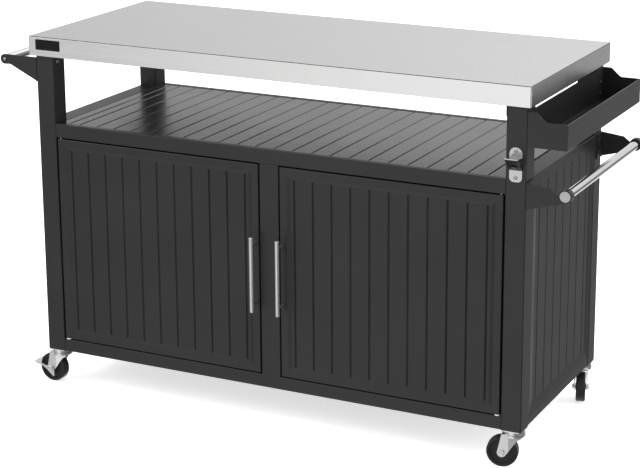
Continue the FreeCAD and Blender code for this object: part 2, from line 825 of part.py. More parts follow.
def make_wheel():
    """A moulded wheel: rounded tread, dished sides and a hub bored for the axle."""
    half = wheel_width / 2
    centre = Vec(wheel_trail, -half, wheel_radius)
    tyre = rod(wheel_radius, centre, Vec(0, wheel_width, 0))
    tread = [e for e in tyre.Edges if e.Curve.TypeId == "Part::GeomCircle"]
    tyre = tyre.makeFillet(4.0, tread)
    dish_depth = 3.5
    dish = ring(28.5, 11.0, centre.add(Vec(0, -1, 0)), Vec(0, dish_depth + 1, 0))
    wheel = tyre.cut(dish).cut(mirrored(dish, Vec(0, 1, 0)))
    hub = rod(9.0, centre.add(Vec(0, -1.4, 0)), Vec(0, wheel_width + 2.8, 0))
    bore = rod(axle_radius + running_clearance, centre.add(Vec(0, -5, 0)), Vec(0, wheel_width + 10, 0))
    return wheel.fuse(hub).removeSplitter().cut(bore)


def make_pedal():
    """A brake pedal: two hooked arms on the axle bolt, joined by a raised pad past the wheel."""
    inner = fork_inside + fork_sheet + pedal_air
    outer = inner + pedal_arm
    reach = pedal_reach
    across = Vec(0, 1, 0)
    hook = [(-9.5, 0), (-10.5, -9), (-10.5, -20.5), (-7.5, -21.5), (3, -13.5)]
    blade = [(12, -5.5), (24, 2), (36, 5), (41, 4.8), (reach, 10.6)]
    back = [(reach - 1.2, 13.0), (38, 9.8), (26, 7.8), (14, 4.4), (6, 7.4)]
    arm = plate(hook + blade + back, Vec(0, inner, 0), pedal_arm)
    arm = arm.fuse(rod(9.5, Vec(0, inner, 0), Vec(0, pedal_arm, 0)))
    start = wheel_radius + pad_gap
    pad = box(0, -outer, 0, 1.1 * (reach - start), outer, pad_sheet)
    pad = rounded(pad, 9.0, Vec(0, 0, 1), lambda middle: middle.x > 5)
    pad.Placement = FreeCAD.Placement(Vec(start, 0, pad_low), FreeCAD.Rotation(across, -pad_rise))
    pedal = fuse([arm, mirrored(arm, across), pad])
    pedal = pedal.cut(rod(axle_radius + running_clearance, Vec(0, -30, 0), Vec(0, 60, 0)))
    pedal.translate(Vec(wheel_trail, 0, wheel_radius))
    return pedal


def drill(shape, fasteners):
    for fastener in fasteners:
        if fastener.BoundBox.intersect(shape.BoundBox):
            shape = shape.cut(fastener)
    return shape


def build():
    """Every piece of the cart by name, in the cart's own axes about the middle of its tabletop."""
    corner_bolts = [corner_bolt(sx, sy) for sx in (-1, 1) for sy in (-1, 1)]
    post_fasteners = corner_bolts + tray_screws() + bracket_screws() + opener_screws()
    pins = hinge_pins()
    nodes = {
        "tabletop": make_tabletop(),
        "top_stiffeners": make_stiffeners(),
        "corner_brackets": make_corner_brackets(),
        "corner_bolts": group(corner_bolts),
        "badge_plate": make_badge(),
        "shelf_deck": make_deck(),
        "cabinet_floor": make_floor(),
        "floor_ledges": make_floor_ledges(),
        "centre_stile": make_stile(),
        "back_panel": make_back_panel(),
        "front_top_rail": make_long_rail(-1, top_rail_low, shelf_height).cut(pins),
        "rear_top_rail": make_long_rail(1, top_rail_low, shelf_height),
        "front_bottom_rail": make_long_rail(-1, caster_height, bottom_rail_top).cut(pins),
        "rear_bottom_rail": make_long_rail(1, caster_height, bottom_rail_top),
        "side_bottom_rails": group([make_side_rail(sx, caster_height, side_low_rail_top) for sx in (-1, 1)]),
        "hinge_pins": pins,
        "hinge_washers": make_hinge_washers(),
        "door_catches": group([make_catch(), mirrored(make_catch(), Vec(1, 0, 0))]),
        "spice_tray": make_spice_tray(),
        "towel_bar": make_towel_bar(),
        "towel_bar_caps": make_towel_caps(),
        "push_bar": make_push_bar(),
        "push_bar_end_screws": group(push_end_screws()),
        "tray_and_bracket_screws": group(tray_screws() + bracket_screws()),
        "bottle_opener": make_opener(),
        "bottle_opener_screws": group(opener_screws()),
    }
    for side, sx in (("left", -1), ("right", 1)):
        nodes[side + "_side_panel"] = make_side_panel(sx)
        nodes[side + "_top_rail"] = make_side_rail(sx, side_panel_top, deck_top)
        pieces = {
            "door": make_right_door(),
            "door_handle": make_handle(),
            "handle_screws": group(handle_screws(Vec(handle_x, 0, 0))),
            "door_strike": make_strike(),
        }
        for name, piece in pieces.items():
            nodes[side + "_" + name] = piece if sx > 0 else mirrored(piece, Vec(1, 0, 0))
    for end, sy in (("front", -1), ("rear", 1)):
        nodes["towel_bracket_" + end] = make_towel_bracket(sy)
        nodes["push_bracket_" + end] = make_push_bracket(sy)
    for name, sx, sy, angle, braked in casters:
        nodes["post_" + name] = drill(make_post(sx, sy), post_fasteners)
        nodes["caster_mount_" + name] = caster_frame(make_caster_mount(), sx, sy, 0)
        nodes["caster_fork_" + name] = caster_frame(make_fork(braked), sx, sy, angle)
        nodes["caster_wheel_" + name] = caster_frame(make_wheel(), sx, sy, angle)
        if braked:
            pedal = group([make_pedal()])
            nodes["brake_pedal_" + name] = caster_frame(pedal, sx, sy, angle)
    return nodes


def floor_middle(nodes):
    """The middle of everything's footprint, where the finished part has its origin."""
    whole = FreeCAD.BoundBox()
    for shape in nodes.values():
        whole.add(shape.optimalBoundingBox(True, False))
    return Vec(whole.Center.x, whole.Center.y, whole.ZMin)


nodes = build()
origin = floor_middle(nodes)
os.makedirs("parts", exist_ok=True)
for name, shape in nodes.items():
    placed = shape.copy()
    placed.translate(origin * -1)
    placed.exportStep("parts/" + name + ".step")
print(len(nodes), "pieces, origin at", round(origin.x, 3), round(origin.y, 3), round(origin.z, 3))
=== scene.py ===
import bpy
import bmesh
import json
import math
from mathutils import Matrix, Vector


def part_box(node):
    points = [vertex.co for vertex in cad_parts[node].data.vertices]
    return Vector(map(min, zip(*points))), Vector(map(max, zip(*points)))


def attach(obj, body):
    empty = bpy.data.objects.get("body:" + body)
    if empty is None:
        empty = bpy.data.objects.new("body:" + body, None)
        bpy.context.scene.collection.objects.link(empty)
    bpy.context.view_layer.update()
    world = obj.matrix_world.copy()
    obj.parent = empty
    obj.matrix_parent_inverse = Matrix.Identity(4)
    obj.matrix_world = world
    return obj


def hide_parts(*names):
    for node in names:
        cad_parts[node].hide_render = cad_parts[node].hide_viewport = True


# A rolling grill cart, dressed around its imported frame. Sizes are in metres, angles in degrees.
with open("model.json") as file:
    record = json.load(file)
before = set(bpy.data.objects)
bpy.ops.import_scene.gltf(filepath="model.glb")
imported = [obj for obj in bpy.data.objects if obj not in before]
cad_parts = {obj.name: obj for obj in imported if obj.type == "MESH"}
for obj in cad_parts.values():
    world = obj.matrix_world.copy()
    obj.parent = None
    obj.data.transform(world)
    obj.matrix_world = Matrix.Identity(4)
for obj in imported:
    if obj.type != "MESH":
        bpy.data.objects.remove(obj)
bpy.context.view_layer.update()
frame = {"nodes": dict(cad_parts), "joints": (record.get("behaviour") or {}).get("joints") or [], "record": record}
cadNodes = frame["nodes"]
nodeBody = {node: body for body, nodes in frame["record"]["behaviour"]["bodies"].items() for node in nodes}
nodeSlot = {part["node"]: part["material_slot"] for part in frame["record"]["subparts"]}
jointPlace = {joint["name"]: joint for joint in frame["joints"]}
casterNames = ("front_left", "front_right", "rear_left", "rear_right")
print("frame loaded with", len(cadNodes), "nodes")

topLow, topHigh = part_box("tabletop")
cartMiddle = Vector(((topLow.x + topHigh.x) / 2, (topLow.y + topHigh.y) / 2, 0))


# Shader nodes: an input that is a socket gets a link, and any other gets a value
def addNode(tree, kind, inputs=None, **settings):
    made = tree.nodes.new(kind)
    for key, value in settings.items():
        setattr(made, key, value)
    for key, value in (inputs or {}).items():
        if isinstance(value, bpy.types.NodeSocket):
            tree.links.new(value, made.inputs[key])
        else:
            made.inputs[key].default_value = value
    return made


def mathNode(tree, operation, *values):
    return addNode(tree, "ShaderNodeMath", dict(enumerate(values)), operation=operation).outputs[0]


def remap(tree, value, low, high, fromLow=0.3, fromHigh=0.7):
    spread = {"Value": value, "From Min": fromLow, "From Max": fromHigh, "To Min": low, "To Max": high}
    return addNode(tree, "ShaderNodeMapRange", spread).outputs["Result"]


def blendColours(tree, factor, first, second):
    mixer = addNode(tree, "ShaderNodeMix", {0: factor, 6: first, 7: second}, data_type="RGBA")
    return mixer.outputs[2]


def noiseAt(tree, scale, detail=2.0, stretch=(1, 1, 1)):
    coords = addNode(tree, "ShaderNodeTexCoord").outputs["Object"]
    placed = addNode(tree, "ShaderNodeMapping", {"Vector": coords, "Scale": stretch}).outputs[0]
    wanted = {"Vector": placed, "Scale": scale, "Detail": detail, "Roughness": 0.55}
    return addNode(tree, "ShaderNodeTexNoise", wanted).outputs["Fac"]


def grey(level, warm=0.0):
    return (level * (1 + warm), level, level * (1 - warm), 1.0)


def newMaterial(name, **fixed):
    material = bpy.data.materials.new(name)
    material.use_nodes = True
    tree = material.node_tree
    shader = tree.nodes["Principled BSDF"]
    for socket, value in fixed.items():
        shader.inputs[socket.replace("_", " ")].default_value = value
    return material, tree, shader.inputs


def bumpInto(tree, inputs, height, strength, distance):
    bump = addNode(tree, "ShaderNodeBump", {"Height": height, "Strength": strength, "Distance": distance})
    tree.links.new(bump.outputs[0], inputs["Normal"])


# Finishes. Colours are grey levels; hairs, smear, cloud, grain, fine and spangle are pattern scales;
# depth is a bump's height.
coatLook = {
    "dark": 0.0085, "light": 0.012, "roughness": (0.36, 0.44), "IOR": 1.36,
    "cloud": 5.0, "grain": 900, "grainRoughness": 0.04, "bump": 0.35, "depth": 0.0001,
}
deckLook = dict(coatLook, roughness=(0.24, 0.30), IOR=1.58)
steelLook = {
    "base": 0.56, "shade": 0.49, "warmth": 0.004, "roughness": (0.24, 0.34), "hairs": 1600, "drag": 0.006,
    "bandSize": 14, "bandShare": 0.45, "smear": 7.0, "smearRoughness": 0.025, "bump": 0.3, "depth": 0.00003,
}
# On the top, the flat face and the folds are darkened with painted shade
topLook = dict(
    steelLook, base=0.64, shade=0.58, topShadeTint=0.76, topShadeFrom=0.8, endFrom=0.7, endCalm=0.4,
    foldShadeTint=0.04, foldShadeMiddle=0.62, foldShadeReach=(0.22, 0.36),
)
barLook = dict(steelLook, base=0.60, shade=0.46, roughness=(0.07, 0.13))
handleLook = dict(steelLook, base=0.66, shade=0.56, roughness=(0.34, 0.44))
# On the opener, faces that look down are darkened with painted shade
openerLook = dict(
    steelLook, base=0.46, shade=0.36, roughness=(0.20, 0.30), underShadeTint=0.22, underShadeReach=(-0.35, -0.08),
)
boltLook = dict(steelLook, hairs=900, drag=0.4, base=0.42, shade=0.30)
zincLook = {
    "base": 0.62, "shade": 0.55, "cool": 0.02, "roughness": (0.30, 0.40), "spangle": 160, "spangleShare": 0.4,
    "cloud": 60, "fine": 1500, "fineRoughness": 0.03, "bump": 0.12, "depth": 0.00004,
}
mouldLook = {
    "roughness": (0.35, 0.5), "IOR": 1.48, "cloud": 40.0, "grain": 1200, "bump": 0.3, "depth": 0.00005,
}
rubberLook = dict(mouldLook, dark=0.006, light=0.010, roughness=(0.40, 0.52), IOR=1.34)
enamelLook = dict(
    mouldLook, dark=0.003, light=0.005, roughness=(0.4, 0.5), IOR=1.22, grain=300, depth=0.00002,
)
catchLook = dict(mouldLook, dark=0.02, light=0.03, roughness=(0.4, 0.55))
washerLook = dict(mouldLook, dark=0.62, light=0.70, roughness=(0.35, 0.45))
discLook = dict(mouldLook, dark=0.22, light=0.27)


def makePowderCoat(name="powderCoat", look=coatLook):
    material, tree, inputs = newMaterial(name, IOR=look["IOR"])
    cloud = noiseAt(tree, look["cloud"], 3.0)
    grain = noiseAt(tree, look["grain"], 1.5)
    tint = blendColours(tree, remap(tree, cloud, 0, 1), grey(look["dark"], 0.01), grey(look["light"], 0.02))
    tree.links.new(tint, inputs["Base Color"])
    grit = look["grainRoughness"]
    uneven = mathNode(tree, "ADD", remap(tree, cloud, *look["roughness"]), remap(tree, grain, -grit, grit))
    tree.links.new(uneven, inputs["Roughness"])
    bumpInto(tree, inputs, grain, look["bump"], look["depth"])
    return material


def normalParts(tree):
    normal = addNode(tree, "ShaderNodeNewGeometry").outputs["Normal"]
    return addNode(tree, "ShaderNodeSeparateXYZ", {0: normal}).outputs


# The hair lines run along one axis. On the folded top, the end faces are brushed up and down,
# its flat face is darkened with painted shade, and its folds get painted shade as dark lines.
def makeBrushedSteel(name, along, look=steelLook):
    material, tree, inputs = newMaterial(name, Metallic=1.0)
    drag = look["drag"]
    stretches = {"X": (drag, 1, 1), "Y": (1, drag, 1), "Z": (1, 1, drag)}
    hairs = noiseAt(tree, look["hairs"], 1.0, stretches[along])
    bands = noiseAt(tree, look["hairs"] / look["bandSize"], 2.0, stretches[along])
    shade, base = grey(look["shade"], look["warmth"]), grey(look["base"], look["warmth"])
    if "foldShadeTint" in look:
        looksTo = normalParts(tree)
        isEnd = mathNode(tree, "GREATER_THAN", mathNode(tree, "ABSOLUTE", looksTo["X"]), look["endFrom"])
        endHairs = noiseAt(tree, look["hairs"], 1.0, stretches["Z"])
        endBands = noiseAt(tree, look["hairs"] / look["bandSize"], 2.0, stretches["Z"])
        calm = (0.5 - look["endCalm"] / 2, 0.5 + look["endCalm"] / 2, 0, 1)
        ends = {0: isEnd, 2: hairs, 3: remap(tree, endHairs, *calm)}
        hairs = addNode(tree, "ShaderNodeMix", ends).outputs[0]
        ends = {0: isEnd, 2: bands, 3: remap(tree, endBands, *calm)}
        bands = addNode(tree, "ShaderNodeMix", ends).outputs[0]
    smear = noiseAt(tree, look["smear"], 3.0)
    wide = mathNode(tree, "MULTIPLY", bands, look["bandShare"])
    streak = mathNode(tree, "MULTIPLY_ADD", hairs, 1 - look["bandShare"], wide)
    tint = blendColours(tree, remap(tree, streak, 0, 1), shade, base)
    if "foldShadeTint" in look:
        # Painted shade: faces that look up are darkened
        topShadeMask = mathNode(tree, "GREATER_THAN", looksTo["Z"], look["topShadeFrom"])
        flat = {0: topShadeMask, 6: tint, 7: grey(look["topShadeTint"])}
        tint = addNode(tree, "ShaderNodeMix", flat, data_type="RGBA", blend_type="MULTIPLY").outputs[2]
        # Painted shade: a dark line along the folds, where their faces turn between up and sideways
        fromFold = mathNode(tree, "SUBTRACT", looksTo["Z"], look["foldShadeMiddle"])
        foldShade = remap(tree, mathNode(tree, "ABSOLUTE", fromFold), 1.0, 0.0, *look["foldShadeReach"])
        tint = blendColours(tree, foldShade, tint, grey(look["shade"] * look["foldShadeTint"]))
    # Painted shade: faces that look down are darkened
    if "underShadeTint" in look:
        under = remap(tree, normalParts(tree)["Z"], 1, 0, *look["underShadeReach"])
        tint = blendColours(tree, under, tint, grey(look["shade"] * look["underShadeTint"]))
    tree.links.new(tint, inputs["Base Color"])
    blur = look["smearRoughness"]
    rough = mathNode(tree, "ADD", remap(tree, streak, *look["roughness"]), remap(tree, smear, -blur, blur))
    tree.links.new(rough, inputs["Roughness"])
    bumpInto(tree, inputs, streak, look["bump"], look["depth"])
    return material


def makeZinc(name="zincPlate", look=zincLook):
    material, tree, inputs = newMaterial(name, Metallic=1.0)
    coords = addNode(tree, "ShaderNodeTexCoord").outputs["Object"]
    cells = addNode(tree, "ShaderNodeTexVoronoi", {"Vector": coords, "Scale": look["spangle"]})
    cell = addNode(tree, "ShaderNodeSeparateColor", {0: cells.outputs["Color"]}).outputs[0]
    fine = noiseAt(tree, look["fine"], 2.0)
    cloud = noiseAt(tree, look["cloud"], 2.0)
    cloudy = mathNode(tree, "MULTIPLY", cloud, 1 - look["spangleShare"])
    patch = mathNode(tree, "MULTIPLY_ADD", cell, look["spangleShare"], cloudy)
    shade, cool = look["shade"], look["cool"]
    bluish = (shade, shade * (1 + cool), shade * (1 + 2 * cool), 1)
    tint = blendColours(tree, patch, bluish, grey(look["base"]))
    tree.links.new(tint, inputs["Base Color"])
    grit = look["fineRoughness"]
    dull = remap(tree, patch, *look["roughness"], 0.2, 0.8)
    tree.links.new(mathNode(tree, "ADD", dull, remap(tree, fine, -grit, grit)), inputs["Roughness"])
    bumpInto(tree, inputs, fine, look["bump"], look["depth"])
    return material


# Plastic or rubber out of a mould, and enamel: a faint cloud in the colour and a fine grain
def makeMoulded(name, look):
    material, tree, inputs = newMaterial(name, IOR=look["IOR"])
    cloud = noiseAt(tree, look["cloud"], 3.0)
    fine = noiseAt(tree, look["grain"], 2.0)
    tint = blendColours(tree, remap(tree, cloud, 0, 1), grey(look["dark"]), grey(look["light"]))
    tree.links.new(tint, inputs["Base Color"])
    tree.links.new(remap(tree, fine, *look["roughness"]), inputs["Roughness"])
    bumpInto(tree, inputs, fine, look["bump"], look["depth"])
    return material


powderCoat = makePowderCoat()
handleSteel = makeBrushedSteel("handleSteel", "Z", handleLook)
finishes = {
    "powder_coat": powderCoat,
    "worktop_steel": makeBrushedSteel("worktopSteel", "X", topLook),
    "bar_steel": makeBrushedSteel("barSteelDeep", "Y", barLook),
    "fastener_steel": makeBrushedSteel("fastenerSteel", "Z", boltLook),
    "zinc_plate": makeZinc(),
    "wheel_rubber": makeMoulded("wheelRubber", rubberLook),
    "white_plastic": makeMoulded("whitePlastic", washerLook),
    "grey_plastic": makeMoulded("greyPlastic", discLook),
    "catch_plastic": makeMoulded("catchPlastic", catchLook),
    "blank_plate": makeMoulded("blackEnamel", enamelLook),
}
# Nodes that look unlike the rest of their slot
nodeFinishes = {
    "left_door_handle": handleSteel, "right_door_handle": handleSteel,
    "bottle_opener": makeBrushedSteel("openerSteel", "Z", openerLook),
    "tray_and_bracket_screws": powderCoat, "shelf_deck": makePowderCoat("deckCoat", deckLook),
}


def nodeFinish(node):
    return nodeFinishes.get(node, finishes[nodeSlot[node]])


for node, piece in cadNodes.items():
    piece.data.materials.clear()
    piece.data.materials.append(nodeFinish(node))
print("finishes made:", len(bpy.data.materials))


# Meshes. Points nearer than a weld become one, and faces within the flat angle, in radians, too.
weld = {"cadCopy": 0.000004, "sheet": 0.000005, "flatAngle": 0.004}


def newPiece(name, shape, finish):
    bmesh.ops.recalc_face_normals(shape, faces=shape.faces)
    mesh = bpy.data.meshes.new(name)
    shape.to_mesh(mesh)
    shape.free()
    mesh.materials.append(finish)
    piece = bpy.data.objects.new(name, mesh)
    bpy.context.scene.collection.objects.link(piece)
    return piece


# Applies the modifiers and shades the piece smooth, except over its sharp edges
def settle(piece, sharpDegrees=32):
    for polygon in piece.data.polygons:
        polygon.use_smooth = True
    piece.data.set_sharp_from_angle(angle=math.radians(sharpDegrees))
    shading = piece.modifiers.new("faceWeights", "WEIGHTED_NORMAL")
    shading.keep_sharp = True
    evaluated = piece.evaluated_get(bpy.context.evaluated_depsgraph_get())
    solid = bpy.data.meshes.new_from_object(evaluated)
    piece.modifiers.clear()
    piece.data = solid
    return piece


# Hides the CAD nodes a finished piece stands for, and lets it ride on their body
def standFor(piece, *nodes):
    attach(piece, nodeBody[nodes[0]])
    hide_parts(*nodes)


def mergedCopy(node):
    shape = bmesh.new()
    shape.from_mesh(cadNodes[node].data)
    bmesh.ops.remove_doubles(shape, verts=shape.verts, dist=weld["cadCopy"])
    return shape


# The separate solids of a merged mesh, as lists of their points
def islandsOf(shape):
    waiting = set(shape.verts)
    islands = []
    for start in shape.verts:
        if start not in waiting:
            continue
        waiting.remove(start)
        stack, island = [start], []
        while stack:
            vert = stack.pop()
            island.append(vert)
            near = [edge.other_vert(vert) for edge in vert.link_edges]
            fresh = [other for other in near if other in waiting]
            waiting.difference_update(fresh)
            stack += fresh
        islands.append(island)
    return islands


def boxAround(island):
    return [Vector([pick(vert.co[axis] for vert in island) for axis in range(3)]) for pick in (min, max)]


# Both ends of an axle bolt get a chamfer and a sunk middle
axleEnd = {
    "near": 0.002, "square": 0.99, "level": 0.0001,
    "chamfer": 0.0009, "drop": 0.0005, "wall": 0.0014, "sink": 0.0017,
}


def sinkAxleEnds(shape, joint):
    centre, axis = Vector(joint["pos_m"]), Vector(joint["axis"])
    ends = []
    for face in shape.faces:
        away = face.calc_center_median() - centre
        along = away.dot(axis)
        outward = face.normal.dot(axis) * (1 if along > 0 else -1)
        if (away - axis * along).length < axleEnd["near"] and outward > axleEnd["square"]:
            ends.append((abs(along), face))
    reach = max(along for along, face in ends)
    ends = [face for along, face in ends if along > reach - axleEnd["level"]]
    bmesh.ops.inset_individual(shape, faces=ends, thickness=axleEnd["chamfer"], depth=axleEnd["drop"])
    bmesh.ops.inset_individual(shape, faces=ends, thickness=axleEnd["chamfer"], depth=0.0)
    bmesh.ops.inset_individual(shape, faces=ends, thickness=axleEnd["wall"], depth=-axleEnd["sink"])


# A copy of a CAD solid with its sharp edges rounded over
def softenedCopy(node, name, look):
    shape = mergedCopy(node)
    bmesh.ops.dissolve_limit(shape, angle_limit=weld["flatAngle"], verts=shape.verts, edges=shape.edges)
    if node.startswith("caster_fork_"):
        sinkAxleEnds(shape, jointPlace["roll_" + node.removeprefix("caster_fork_")])
    piece = newPiece(name, shape, nodeFinish(node))
    bevel = piece.modifiers.new("edges", "BEVEL")
    bevel.width = look["round"]
    bevel.segments = look["steps"]
    bevel.limit_method = "ANGLE"
    bevel.angle_limit = math.radians(look["sharpest"])
    bevel.use_clamp_overlap = True
    standFor(settle(piece), node)


# The middle line of a folded sheet, its corners turned into bends
def bentLine(points, bends, steps=5):
    line = [Vector(points[0])]
    for before, corner, after, radius in zip(points, points[1:], points[2:], bends):
        corner = Vector(corner)
        inward = (Vector(before) - corner).normalized()
        outward = (Vector(after) - corner).normalized()
        half = inward.angle(outward) / 2
        reach = radius / math.tan(half)
        centre = corner + (inward + outward).normalized() * (radius / math.sin(half))
        start = corner + inward * reach - centre
        sweep = start.angle_signed(corner + outward * reach - centre)
        for step in range(steps + 1):
            line.append(centre + Matrix.Rotation(-sweep * step / steps, 2) @ start)
    line.append(Vector(points[-1]))
    return line


def offsetLine(line, distance):
    moved = []
    for index, point in enumerate(line):
        before = line[max(index - 1, 0)]
        after = line[min(index + 1, len(line) - 1)]
        first = (point - before).normalized() if index else (after - point).normalized()
        second = (after - point).normalized() if index < len(line) - 1 else first
        along = (first + second).normalized()
        stretch = 1 / max(along.dot(first), 0.5)
        moved.append(point + Vector((-along.y, along.x)) * distance * stretch)
    return moved


def roundedLoop(width, height, radius, steps):
    corners = []
    for sx, sy, turn in ((1, 1, 0), (-1, 1, 90), (-1, -1, 180), (1, -1, 270)):
        for step in range(steps + 1):
            angle = math.radians(turn + 90 * step / steps)
            x = sx * (width / 2 - radius) + radius * math.cos(angle)
            y = sy * (height / 2 - radius) + radius * math.sin(angle)
            corners.append((x, y))
    return corners


# Turns a drawing's X to the right, Y up and Z out of its face
def facing(centre, right, up):
    right, up = Vector(right), Vector(up)
    turn = Matrix((right, up, right.cross(up))).transposed().to_4x4()
    return Matrix.Translation(centre) @ turn


# Carries a ring of (inset, depth) points round a rectangle with rounded corners
def sweepRing(shape, place, width, height, ring, corner, steps, closed, leastCorner=0.0003):
    loops = []
    for inset, depth in ring:
        radius = max(corner - inset, leastCorner)
        outline = roundedLoop(width - 2 * inset, height - 2 * inset, radius, steps)
        loops.append([shape.verts.new(place @ Vector((x, y, -depth))) for x, y in outline])
    pairs = list(zip(loops, loops[1:]))
    if closed:
        pairs.append((loops[-1], loops[0]))
    for first, second in pairs:
        for i in range(len(first)):
            j = (i + 1) % len(first)
            shape.faces.new((first[i], first[j], second[j], second[i]))
    if not closed:
        shape.faces.new(loops[0])
        shape.faces.new(loops[-1][::-1])


# Folds a sheet round a rectangle. Its line's points are (inset from the rim, depth behind the face).
def foldSheet(shape, place, width, height, look, closed=True):
    middle = bentLine([Vector(point) for point in look["line"]], look["bends"])
    ring = offsetLine(middle, look["sheet"] / 2) + offsetLine(middle, -look["sheet"] / 2)[::-1]
    sweepRing(shape, place, width, height, ring, look["corner"], look["cornerSteps"], closed)


# Geometry Nodes: trees with named inputs, whose results become plain meshes
def startTree(name, numbers, extras=()):
    tree = bpy.data.node_groups.new(name, "GeometryNodeTree")
    tree.interface.new_socket("Geometry", in_out="INPUT", socket_type="NodeSocketGeometry")
    tree.interface.new_socket("Geometry", in_out="OUTPUT", socket_type="NodeSocketGeometry")
    for label, kind in [(label, "NodeSocketFloat") for label in numbers] + list(extras):
        tree.interface.new_socket(label, in_out="INPUT", socket_type=kind)
    given = addNode(tree, "NodeGroupInput").outputs
    return tree, given


def endTree(tree, geometry, finish):
    real = addNode(tree, "GeometryNodeRealizeInstances", {"Geometry": geometry}).outputs[0]
    dressed = addNode(tree, "GeometryNodeSetMaterial", {"Geometry": real, "Material": finish}).outputs[0]
    addNode(tree, "NodeGroupOutput", {0: dressed})


def growMesh(name, seedMesh, tree, values):
    grower = bpy.data.objects.new(name, seedMesh)
    bpy.context.scene.collection.objects.link(grower)
    modifier = grower.modifiers.new("grow", "NODES")
    modifier.node_group = tree
    for item in tree.interface.items_tree:
        if item.in_out == "INPUT" and item.name in values:
            modifier[item.identifier] = values[item.name]
    evaluated = grower.evaluated_get(bpy.context.evaluated_depsgraph_get())
    grown = bpy.data.meshes.new_from_object(evaluated)
    grower.modifiers.clear()
    bpy.data.objects.remove(grower)
    return grown


# A sheet pressed with evenly spaced grooves, and one more where the pattern is broken
def makeGrooveTree():
    sizes = ("Width", "Length", "First Groove", "Pitch", "Last Number", "Extra Groove")
    press = ("Groove Width", "Groove Depth", "Sheet")
    extras = (("Columns", "NodeSocketInt"), ("Finish", "NodeSocketMaterial"))
    tree, given = startTree("groovedSheet", sizes + press, extras)
    size = {"Size X": given["Width"], "Size Y": given["Length"], "Vertices Y": 2}
    size["Vertices X"] = given["Columns"]
    flat = addNode(tree, "GeometryNodeMeshGrid", size).outputs["Mesh"]
    position = addNode(tree, "GeometryNodeInputPosition").outputs[0]
    across = addNode(tree, "ShaderNodeSeparateXYZ", {0: position}).outputs[0]
    fromFirst = mathNode(tree, "SUBTRACT", across, given["First Groove"])
    number = mathNode(tree, "ROUND", mathNode(tree, "DIVIDE", fromFirst, given["Pitch"]))
    number = mathNode(tree, "MINIMUM", mathNode(tree, "MAXIMUM", number, 0.0), given["Last Number"])
    away = mathNode(tree, "SUBTRACT", fromFirst, mathNode(tree, "MULTIPLY", number, given["Pitch"]))
    extra = mathNode(tree, "SUBTRACT", across, given["Extra Groove"])
    nearest = mathNode(tree, "MINIMUM", mathNode(tree, "ABSOLUTE", away), mathNode(tree, "ABSOLUTE", extra))
    lip = mathNode(tree, "MULTIPLY", given["Groove Width"], 0.5)
    span = {"Value": nearest, "From Min": 0.0, "From Max": lip}
    span.update({"To Min": mathNode(tree, "MULTIPLY", given["Groove Depth"], -1.0), "To Max": 0.0})
    dip = addNode(tree, "ShaderNodeMapRange", span, interpolation_type="SMOOTHSTEP").outputs["Result"]
    sink = addNode(tree, "ShaderNodeCombineXYZ", {2: dip}).outputs[0]
    pressed = addNode(tree, "GeometryNodeSetPosition", {"Geometry": flat, "Offset": sink}).outputs[0]
    below = mathNode(tree, "MULTIPLY", given["Sheet"], -1.0)
    down = {"Mesh": pressed, "Offset": (0, 0, 1), "Offset Scale": below, "Individual": False}
    under = addNode(tree, "GeometryNodeExtrudeMesh", down).outputs["Mesh"]
    both = addNode(tree, "GeometryNodeJoinGeometry", {0: pressed})
    tree.links.new(under, both.inputs[0])
    joined = {"Geometry": both.outputs[0], "Distance": weld["sheet"]}
    endTree(tree, addNode(tree, "GeometryNodeMergeByDistance", joined).outputs[0], given["Finish"])
    return tree


# Sets a copy of one object on each point, its Z along the point's "aim" and its size from "size"
def makeCopyTree():
    extras = (("Copy", "NodeSocketObject"), ("Seed", "NodeSocketInt"), ("Finish", "NodeSocketMaterial"))
    tree, given = startTree("placeCopies", ("Most Turn",), extras)
    template = addNode(tree, "GeometryNodeObjectInfo", {"Object": given["Copy"]}).outputs["Geometry"]
    kept = "GeometryNodeInputNamedAttribute"
    aim = addNode(tree, kept, {"Name": "aim"}, data_type="FLOAT_VECTOR").outputs[0]
    size = addNode(tree, kept, {"Name": "size"}, data_type="FLOAT_VECTOR").outputs[0]
    along = addNode(tree, "FunctionNodeAlignRotationToVector", {"Vector": aim}, axis="Z").outputs[0]
    chance = addNode(tree, "FunctionNodeRandomValue", {"Seed": given["Seed"]}, data_type="FLOAT").outputs[1]
    turn = mathNode(tree, "MULTIPLY", chance, given["Most Turn"])
    spin = addNode(tree, "FunctionNodeAxisAngleToRotation", {"Axis": (0, 0, 1), "Angle": turn}).outputs[0]
    turned = addNode(tree, "FunctionNodeRotateRotation", {0: along, 1: spin}, rotation_space="LOCAL")
    wanted = {"Points": given["Geometry"], "Instance": template, "Scale": size}
    wanted["Rotation"] = turned.outputs[0]
    copies = addNode(tree, "GeometryNodeInstanceOnPoints", wanted).outputs[0]
    endTree(tree, copies, given["Finish"])
    return tree


grooveTree = makeGrooveTree()
copyTree = makeCopyTree()


# Each point is a place, an aim and a size
def copiesAt(name, template, points, finish, seed):
    mesh = bpy.data.meshes.new(name + "Points")
    mesh.from_pydata([place for place, aim, size in points], [], [])
    for label, index in (("aim", 1), ("size", 2)):
        layer = mesh.attributes.new(label, "FLOAT_VECTOR", "POINT")
        layer.data.foreach_set("vector", [value for point in points for value in point[index]])
    values = {"Copy": template, "Most Turn": math.tau, "Seed": seed, "Finish": finish}
    grown = growMesh(name + "Grower", mesh, copyTree, values)
    shape = bmesh.new()
    shape.from_mesh(grown)
    return newPiece(name, shape, finish)


